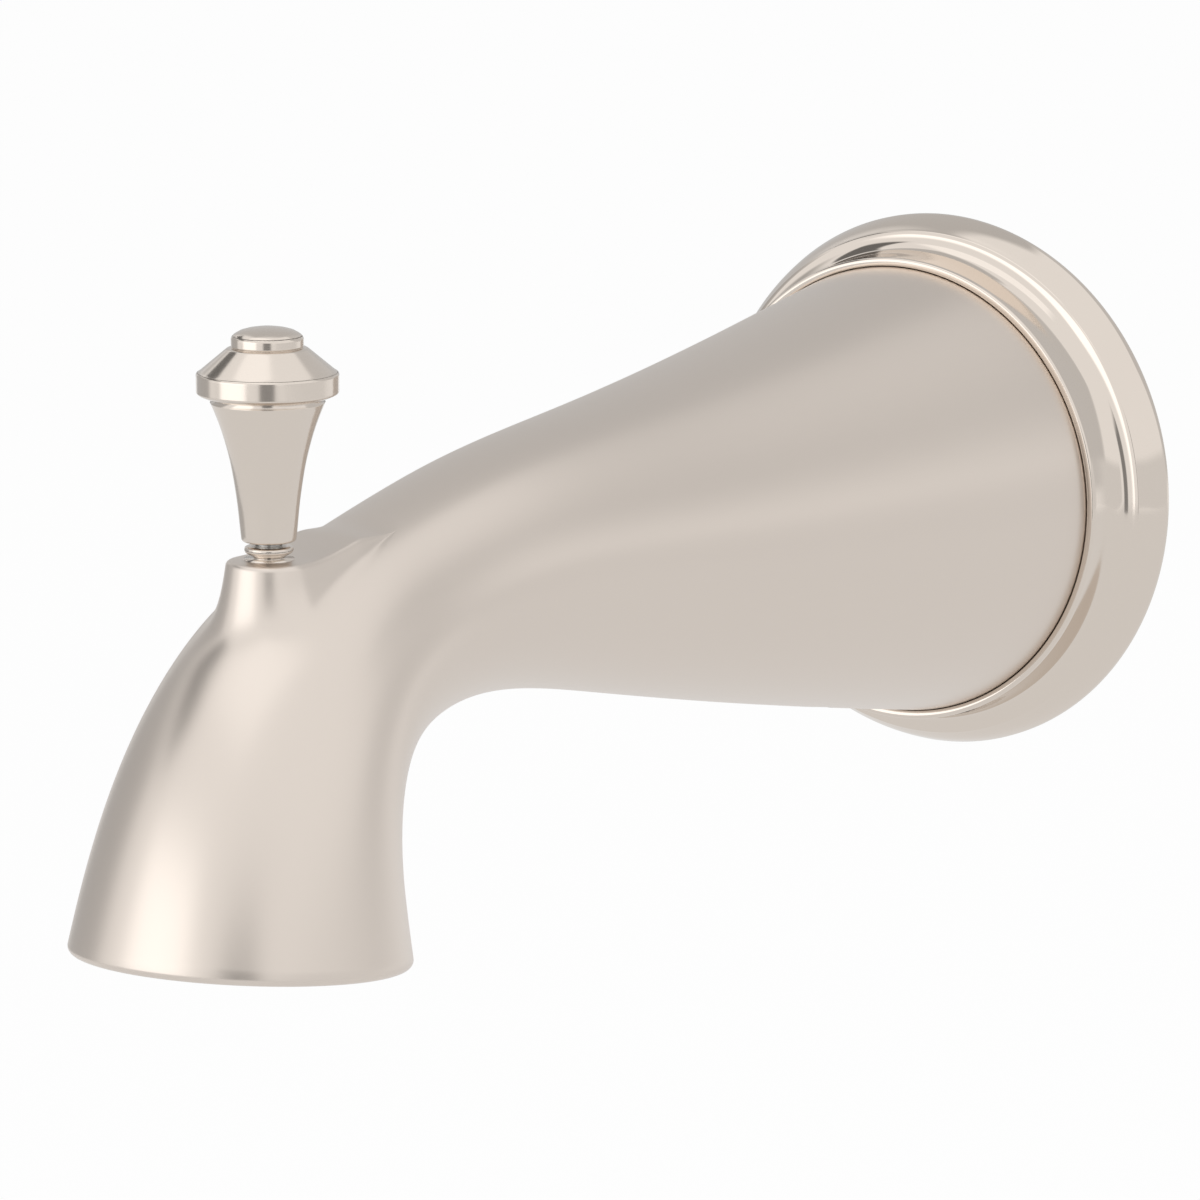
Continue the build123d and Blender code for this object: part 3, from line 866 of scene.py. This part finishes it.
    def web(self) -> BMesh:
        """The web across the cone with its collar, snap ring groove and weep holes."""
        bore, lip, collar, rim, groove = 12.02, 15.02, 18.02, 27.2, 16.02
        end, groove_back, groove_front, back, front = 16.0, 17.9, 19.0, 24.0, 28.0
        corners = [
            Corner(bore, back), Corner(lip, back), Corner(lip, groove_front), Corner(groove, groove_front),
            Corner(groove, groove_back), Corner(lip, groove_back), Corner(lip, end, 0.3),
            Corner(collar, end, 0.5), Corner(collar, back, 0.8), Corner(rim, back),
            Corner(rim - 0.6, front), Corner(bore, front), Corner(bore, back),
        ]
        web = turned(rounded_outline(corners), Turning.OUT_FROM_WALL, 144)
        drills = bmesh.new()
        holes, ring, radius, first_angle = 6, 21.2, 3.5, 30
        for hole in range(holes):
            angle = math.radians(first_angle + 360 // holes * hole)
            place = Matrix.Translation((ring * math.cos(angle), -(back + front) / 2, ring * math.sin(angle)))
            add_bar(drills, radius, 6.0, place @ Matrix.Rotation(QUARTER, 4, "X"), 48)
        return carved(web, drills)

    def core(self, inset: float) -> BMesh:
        """A closed solid like the hollow, a given distance inside the skin, from the cone to the nose."""
        mesh = bmesh.new()
        rows, columns = 40, 64
        start, short_of_rim = 80.0, 8.0
        end = self.length - short_of_rim

        def place(column: int, row: int) -> Vector:
            """A point of the solid's side."""
            return self.skin_point(start + (end - start) * row / rows, 2 * math.pi * column / columns, inset)

        laid_sheet(mesh, columns, rows, place)
        merged(mesh)
        bmesh.ops.holes_fill(mesh, edges=mesh.edges, sides=0)
        bmesh.ops.recalc_face_normals(mesh, faces=mesh.faces)
        return mesh

    def bulkhead(self) -> BMesh:
        """The thick wall in the neck, with the tube's socket and the seat's bore cut in it."""
        face, back, socket_end, seat_start = 138.0, 123.0, 130.0, 136.0
        socket, passage, seat = 7.02, 5.0, 6.42
        passage_height, seat_height = -3.4, -4.2
        half_width, bottom, top = 20.0, -22.0, 8.6
        sunk, past = 0.6, 1.0
        wall = carved(self.core(self.wall * sunk), block(half_width, back, face, bottom, top), "INTERSECT")
        wall = carved(wall, out_rod(socket, back - past, socket_end))
        wall = carved(wall, out_rod(passage, socket_end - past, seat_start, passage_height))
        return carved(wall, out_rod(seat, seat_start - past, face + past, seat_height))

    def rail(self, side: int) -> BMesh:
        """One gate rail with its lip.

        Args:
            side: 1 for the +X rail and -1 for the other.

        Returns:
            The closed mesh.
        """
        inner, outer, lip = 6.7, 8.9, 5.0
        base, lip_start, lip_end = 137.6, 144.4, 145.7
        bottom, tall, edge_cut = -22.5, 23.5, 0.22
        mesh = bmesh.new()
        plan = [(inner, base), (outer, base), (outer, lip_end)]
        plan += [(lip, lip_end), (lip, lip_start), (inner, lip_start)]
        points = [mesh.verts.new((side * x, -reach, bottom)) for x, reach in plan]
        foot = mesh.faces.new(points)
        top = bmesh.ops.extrude_face_region(mesh, geom=[foot])
        raised = [item for item in top["geom"] if isinstance(item, BMVert)]
        bmesh.ops.translate(mesh, vec=(0.0, 0.0, tall), verts=raised)
        bmesh.ops.recalc_face_normals(mesh, faces=mesh.faces)
        bmesh.ops.bevel(
            mesh, geom=mesh.edges, offset=edge_cut, offset_type="OFFSET", segments=2, profile=0.5,
            affect="EDGES", material=-1,
        )
        return mesh

    def build(self) -> Object:
        """Builds the whole casting as one piece."""
        mesh = carved(self.shell(), self.key_hole())
        for inside in (self.tail(), self.web(), self.bulkhead(), self.rail(1), self.rail(-1)):
            added(mesh, inside)
        return finish_piece(mesh, "cast_spout_body", CAST_NICKEL, self.shelf, Carrier.SPOUT, "spout_body")


# Turned trim


@dataclass
class TurnedPiece:
    """A piece that is turned in one go; each kind gives its outline, its finish and what it stands for."""

    shelf: FinishShelf
    name: ClassVar[str]
    node: ClassVar[str]
    finish: ClassVar[Finish]
    steps: ClassVar[int]
    carrier: ClassVar[Carrier] = Carrier.SPOUT
    turning: ClassVar[Turning] = Turning.UP_THE_KNOB

    def outline(self) -> list[tuple[float, float]]:
        """The piece's section, as (radius, place along the axis)."""
        raise NotImplementedError

    def build(self) -> Object:
        """Turns the piece."""
        reach = KNOB_REACH if self.turning is Turning.UP_THE_KNOB else 0.0
        mesh = turned(self.outline(), self.turning, self.steps, reach)
        return finish_piece(mesh, self.name, self.finish, self.shelf, self.carrier, self.node)


@dataclass
class WallFlange(TurnedPiece):
    """The turned ring at the wall, with its band, its edge, its cove and the thin lip round the body."""

    name, node, finish, steps = "turned_wall_flange", "wall_flange", BRIGHT_NICKEL, 256
    turning = Turning.OUT_FROM_WALL
    radius: float = 36.5
    shoulder: float = 34.6
    shoulder_depth: float = 4.7
    lip_outer: float = 31.65
    recess: float = 30.67
    depth: float = 11.5
    bore: float = 28.35
    pocket_inner: float = 30.0
    pocket_outer: float = 34.8
    pocket_depth: float = 2.0

    def outline(self) -> list[tuple[float, float]]:
        """The ring's section, once round."""
        edge = self.shoulder_depth
        band_start, band_steps, cove_steps = 0.8, 12, 24
        band = SmoothLine((band_start, 2.75, edge), (self.radius, self.radius - 0.72, self.shoulder))
        foot = ((0.25, 0.0), (0.07, 0.07), (0.0, 0.25), (0.0, 0.55))
        points = [(self.radius - inward, out) for inward, out in foot]
        for step in range(band_steps + 1):
            along = band_start + (edge - band_start) * step / band_steps
            points.append((band.at(along), along))
        crest = ((0.04, 0.07), (0.12, 0.11), (0.22, 0.14))
        points += [(self.shoulder - inward, edge + out) for inward, out in crest]
        start = Vector((self.shoulder - 0.30, edge + 0.19))
        pull, next_pull = Vector((31.85, edge + 0.7)), Vector((self.lip_outer, edge + 2.0))
        end = Vector((self.lip_outer, self.depth - 0.35))
        for step in range(cove_steps + 1):
            spot = bezier(start, pull, next_pull, end, step / cove_steps)
            points.append((spot.x, spot.y))
        lip = ((0.04, 0.18), (0.14, 0.06), (0.28, 0.01), (0.45, 0.0), (0.70, 0.01), (0.92, 0.05), (1.1, 0.14))
        points += [(self.lip_outer - inward, self.depth - back) for inward, back in lip]
        points += [(self.recess - 0.2, self.depth - 0.26), (self.recess, EDGE_REACH + 0.15)]
        points += [(self.recess - 0.1, EDGE_REACH), (self.bore + 0.3, EDGE_REACH)]
        points += [(self.bore, EDGE_REACH - 0.3), (self.bore, 0.3), (self.bore + 0.3, 0.0)]
        points += [(self.pocket_inner, 0.0), (self.pocket_inner, self.pocket_depth)]
        points += [(self.pocket_outer, self.pocket_depth)]
        return points + [(self.pocket_outer, 0.0), points[0]]


@dataclass
class StemBushing(TurnedPiece):
    """The bushing in the boss, with the grooved collar that shows under the knob."""

    name, node, finish, steps = "collared_stem_bushing", "stem_bushing", BUFFED_NICKEL, 96
    hole: float = 1.65
    neck: float = 1.9
    bead: float = 2.98
    thread: float = 3.1
    bottom: float = 2.7

    def outline(self) -> list[tuple[float, float]]:
        """The bushing's section, once round."""
        corners = [
            Corner(self.hole, BOSS_TOP + 1.66), Corner(self.bead, BOSS_TOP + 1.45, 0.3),
            Corner(self.bead, BOSS_TOP + 0.8, 0.25), Corner(self.neck, BOSS_TOP + 0.2),
            Corner(self.neck, BOSS_TOP), Corner(self.thread, BOSS_TOP),
            Corner(self.thread, self.bottom, 0.3), Corner(self.hole, self.bottom),
            Corner(self.hole, BOSS_TOP + 1.66),
        ]
        return rounded_outline(corners)


@dataclass
class PullKnob(TurnedPiece):
    """The turned pull knob: rounded foot, waisted skirt, banded cap, and a domed button."""

    name, node, finish, steps = "turned_pull_knob", "diverter_knob", BUFFED_NICKEL, 144
    carrier = Carrier.LIFT
    bottom: float = 12.1
    top: float = 38.6
    hole: float = 1.62
    hole_top: float = 24.4
    skirt_start: float = 12.8
    skirt_end: float = 29.35

    def outline(self) -> list[tuple[float, float]]:
        """The knob's section, from its foot over the top to the rod's hole."""
        skirt = SmoothLine(
            (self.skirt_start, 14.6, 17.1, 19.5, 22.0, 24.4, 26.9, 29.3),
            (3.36, 3.54, 3.80, 4.14, 4.58, 5.17, 5.95, 6.9),
        )
        points = [(self.hole, self.bottom), (1.75, 12.12), (2.95, 12.4), (3.14, 12.45)]
        points += [(3.26, 12.54), (3.33, 12.66)]
        steps = 39
        for step in range(steps + 1):
            along = self.skirt_start + (self.skirt_end - self.skirt_start) * step / steps
            points.append((skirt.at(along), along))
        corners = [
            Corner(6.98, 29.45, 0.05), Corner(5.2, 29.72), Corner(7.5, 30.05, 0.06),
            Corner(8.35, 30.42, 0.12), Corner(8.64, 30.62, 0.25), Corner(8.66, 32.95, 0.35),
            Corner(8.25, 33.2, 0.25), Corner(4.85, 36.05, 0.3), Corner(4.25, 36.1, 0.1),
            Corner(4.4, 36.25, 0.12), Corner(4.4, 37.3, 0.3), Corner(4.05, 37.7, 0.3), Corner(3.3, 38.12),
        ]
        points += rounded_outline(corners)
        points += [(2.5, 38.35), (1.6, 38.51), (0.8, 38.58), (0.0, self.top)]
        return points + [(0.0, self.hole_top), (self.hole, self.hole_top), points[0]]


@dataclass
class LiftRod(TurnedPiece):
    """The steel rod from the knob down to the gate."""

    name, node, finish, steps = "turned_lift_rod", "lift_rod", BRIGHT_STEEL, 64
    carrier = Carrier.LIFT
    radius: float = 1.6
    end_radius: float = 1.25
    top: float = 24.1
    shoulder: float = -11.5
    bottom: float = -21.1

    def outline(self) -> list[tuple[float, float]]:
        """The rod's section, from its top to the end that carries the gate."""
        corners = [
            Corner(0.0, self.top), Corner(self.radius, self.top, 0.25),
            Corner(self.radius, self.shoulder, 0.1), Corner(self.end_radius, self.shoulder),
            Corner(self.end_radius, self.bottom, 0.3), Corner(0.0, self.bottom),
        ]
        return rounded_outline(corners)


# Parts that keep their solid's own mesh


@dataclass
class InnerParts:
    """The parts inside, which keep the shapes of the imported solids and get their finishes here."""

    shelf: FinishShelf
    nodes: dict[str, Object]
    finishes: tuple[tuple[Finish, tuple[str, ...]], ...] = (
        (CLOSED_FOAM, ("flange_gasket",)),
        (TURNED_BRASS, ("inlet_hub", "waterway_tube", "valve_seat", "gate_nut")),
        (BRIGHT_STEEL, ("hub_washer", "hub_snap_ring", "set_screw")),
        (BLACK_RUBBER, ("flange_o_ring", "inlet_o_ring_rear", "inlet_o_ring_front", "tube_o_ring_rear")),
        (BLACK_RUBBER, ("tube_o_ring_front", "stem_o_ring", "gate_seal")),
        (WHITE_ACETAL, ("diverter_gate",)),
    )

    def dress(self) -> None:
        """Gives each part its finish."""
        for finish, names in self.finishes:
            for name in names:
                node = self.nodes[name]
                node.data.materials.clear()
                node.data.materials.append(self.shelf.get(finish))
                LOG.info("%s: %s", name, finish.name)


# The studio


@dataclass(frozen=True)
class Card:
    """One soft-edged card: where it hangs, the angles that it covers, and how bright it is (1 is white).

    Azimuth is in degrees round from the front (-Y) towards +X. Soft is the share of each half that fades out.
    """

    name: str
    azimuth: float
    elevation: float
    width: float
    height: float
    level: float
    soft: float
    away: float


@dataclass(frozen=True)
class Lamp:
    """One soft square lamp: where it hangs, its side in metres, its watts, and how far away it is."""

    name: str
    azimuth: float
    elevation: float
    size: float
    watts: float
    away: float


def way_towards(azimuth: float, elevation: float) -> Vector:
    """The way from the spout at an azimuth, in degrees round from the front towards +X, and an elevation."""
    a, e = math.radians(azimuth), math.radians(elevation)
    return Vector((math.sin(a) * math.cos(e), -math.cos(a) * math.cos(e), math.sin(e)))


@dataclass
class Studio:
    """A plain pale floor, soft lamps, grey cards that shape the reflections, and the camera."""

    azimuth: float = 35.828
    elevation: float = 10.414
    distance: float = 0.97119
    target: tuple[float, float, float] = (-0.0034, -0.07544, -0.00613)
    lens: float = 225.0
    middle: tuple[float, float, float] = (0.0, -0.09, 0.0)
    floor_height: float = -0.32
    floor_reach: float = 6.0
    floor_tone: float = 0.93
    floor_roughness: float = 0.9
    floor_glow: float = 0.96
    surround_level: float = 0.55
    sensor: float = 36.0
    clips: tuple[float, float] = (0.01, 50.0)
    lamps: tuple[Lamp, ...] = (
        Lamp("front_soft_lamp", -8.0, 8.0, 1.0, 14.0, 1.4),
        Lamp("side_soft_lamp", 75.0, 35.0, 1.0, 8.0, 1.4),
    )
    cards: tuple[Card, ...] = (
        Card("rear_grey_card", 182.0, 24.0, 104.0, 62.0, 0.67, 0.22, 2.0),
        Card("floor_grey_card", 180.0, -90.0, 162.0, 162.0, 0.82, 0.30, 0.29),
        Card("side_pale_card", 104.0, -4.0, 92.0, 26.0, 0.80, 0.35, 1.8),
        Card("left_rear_card", -142.0, 26.0, 46.0, 94.0, 0.60, 0.30, 1.9),
        Card("left_dark_flag", -92.0, 2.0, 62.0, 58.0, 0.50, 0.40, 1.0),
        Card("overhead_window", -20.0, 72.0, 56.0, 44.0, 1.24, 0.25, 1.7),
        Card("front_window", -20.0, 5.0, 54.0, 46.0, 1.6, 0.35, 1.5),
        Card("narrow_dark_flag", 36.0, -1.0, 30.0, 38.0, 0.28, 0.45, 1.4),
        Card("left_horizon_flag", -84.0, 38.0, 54.0, 16.0, 0.18, 0.30, 1.3),
    )

    def rays_that_see_white(self, kit: NodeKit) -> Node:
        """Adds the nodes that tell the camera's rays and those of gloss and glass from the rest.

        Args:
            kit: the material or world that they are added to.

        Returns:
            The node whose value is 1 for those rays.
        """
        path = kit.add("LightPath")
        seen = kit.add("Math", operation="MAXIMUM")
        any_seen = kit.add("Math", operation="MAXIMUM")
        kit.wire(
            (path, "Is Camera Ray", seen, 0),
            (path, "Is Glossy Ray", seen, 1),
            (seen, "Value", any_seen, 0),
            (path, "Is Transmission Ray", any_seen, 1),
        )
        return any_seen

    def world(self) -> None:
        """A white surround that lights softly, and that the camera, gloss and glass see as plain white."""
        world = bpy.data.worlds.new("studio_surround")
        bpy.context.scene.world = world
        world.use_nodes = True
        kit = NodeKit(world.node_tree)
        white = (1.0, 1.0, 1.0, 1.0)
        soft = world.node_tree.nodes["Background"]
        soft.inputs["Color"].default_value = white
        soft.inputs["Strength"].default_value = self.surround_level
        plain = kit.add("Background", {"Color": white, "Strength": 1.0})
        kit.mix_out(self.rays_that_see_white(kit), soft, plain, world.node_tree.nodes["World Output"])

    def floor(self) -> None:
        """A wide pale floor well under the spout, which keeps a faint shadow."""
        mesh = bmesh.new()
        bmesh.ops.create_grid(mesh, x_segments=8, y_segments=8, size=self.floor_reach)
        bmesh.ops.translate(mesh, vec=(0.0, 0.0, self.floor_height), verts=mesh.verts)
        floor = linked_object("studio_floor", mesh_data(mesh, "studio_floor"))
        kit = MaterialKit("pale_floor")
        kit.shader.inputs["Base Color"].default_value = (*[self.floor_tone] * 3, 1.0)
        kit.shader.inputs["Roughness"].default_value = self.floor_roughness
        share = kit.add("Math", {1: self.floor_glow}, operation="MULTIPLY")
        kit.wire((self.rays_that_see_white(kit), "Value", share, 0))
        kit.mix_out(share, kit.shader, kit.add("Emission"), kit.output)
        floor.data.materials.append(kit.material)
        LOG.info("studio floor")

    def hang(self, thing: Card | Lamp, data: ID) -> Object:
        """Hangs a card or a lamp so that it faces the middle of the spout.

        Args:
            thing: the card or lamp.
            data: its mesh or light.

        Returns:
            The object.
        """
        way = way_towards(thing.azimuth, thing.elevation)
        hung = linked_object(thing.name, data)
        hung.location = Vector(self.middle) + way * thing.away
        hung.rotation_euler = way.to_track_quat("Z", "Y").to_euler()
        LOG.info("%s hung", thing.name)
        return hung

    def card(self, card: Card) -> None:
        """Hangs a soft-edged card that only gloss and glass see."""
        half_width = card.away * math.tan(math.radians(card.width / 2))
        half_height = card.away * math.tan(math.radians(card.height / 2))
        mesh = bmesh.new()
        bmesh.ops.create_grid(mesh, x_segments=4, y_segments=4, size=1.0)
        bmesh.ops.scale(mesh, vec=(half_width, half_height, 1.0), verts=mesh.verts)
        sheet = self.hang(card, mesh_data(mesh, card.name))
        sheet.visible_camera = False
        sheet.visible_diffuse = False
        sheet.visible_shadow = False
        kit = MaterialKit(card.name)
        kit.tree.nodes.remove(kit.shader)
        place = kit.add("TexCoord")
        parts = kit.add("SeparateXYZ")
        kit.wire((place, "Object", parts, "Vector"))
        cover = kit.add("Math", operation="MULTIPLY")
        for i, (axis, half) in enumerate((("X", half_width), ("Y", half_height))):
            size = kit.add("Math", operation="ABSOLUTE")
            ends = {"From Min": half, "From Max": half * (1 - card.soft)}
            fade = kit.add("MapRange", ends, interpolation_type="SMOOTHSTEP")
            kit.wire((parts, axis, size, 0), (size, "Value", fade, "Value"), (fade, "Result", cover, i))
        glow = kit.add("Emission", {"Strength": card.level})
        kit.mix_out(cover, kit.add("BsdfTransparent"), glow, kit.output)
        sheet.data.materials.append(kit.material)

    def lamp(self, lamp: Lamp) -> None:
        """Hangs a lamp that lights the floor and the dull parts."""
        data = bpy.data.lights.new(lamp.name, "AREA")
        data.shape = "SQUARE"
        data.size = lamp.size
        data.energy = lamp.watts
        self.hang(lamp, data).visible_glossy = False

    def camera(self) -> None:
        """Sets the camera at the photograph's angle."""
        back = way_towards(self.azimuth, self.elevation)
        data = bpy.data.cameras.new("photo_camera")
        data.sensor_width = self.sensor
        data.lens = self.lens
        data.clip_start, data.clip_end = self.clips
        camera = linked_object("photo_camera", data)
        camera.location = Vector(self.target) + back * self.distance
        camera.rotation_mode = "QUATERNION"
        camera.rotation_quaternion = (-back).to_track_quat("-Z", "Y")
        bpy.context.scene.camera = camera

    def build(self) -> None:
        """Sets up the whole studio."""
        self.world()
        self.floor()
        for card in self.cards:
            self.card(card)
        for lamp in self.lamps:
            self.lamp(lamp)
        self.camera()
        bpy.context.scene.view_settings.view_transform = "Standard"


def main() -> None:
    """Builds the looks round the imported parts, one class after another."""
    logging.basicConfig(level=logging.INFO, format="%(name)s %(message)s")
    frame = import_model()
    shelf = FinishShelf()
    for kind in (SpoutCasting, WallFlange, StemBushing, PullKnob, LiftRod):
        kind(shelf).build()
    InnerParts(shelf, frame["nodes"]).dress()
    Studio().build()


if __name__ == "__main__":
    main()
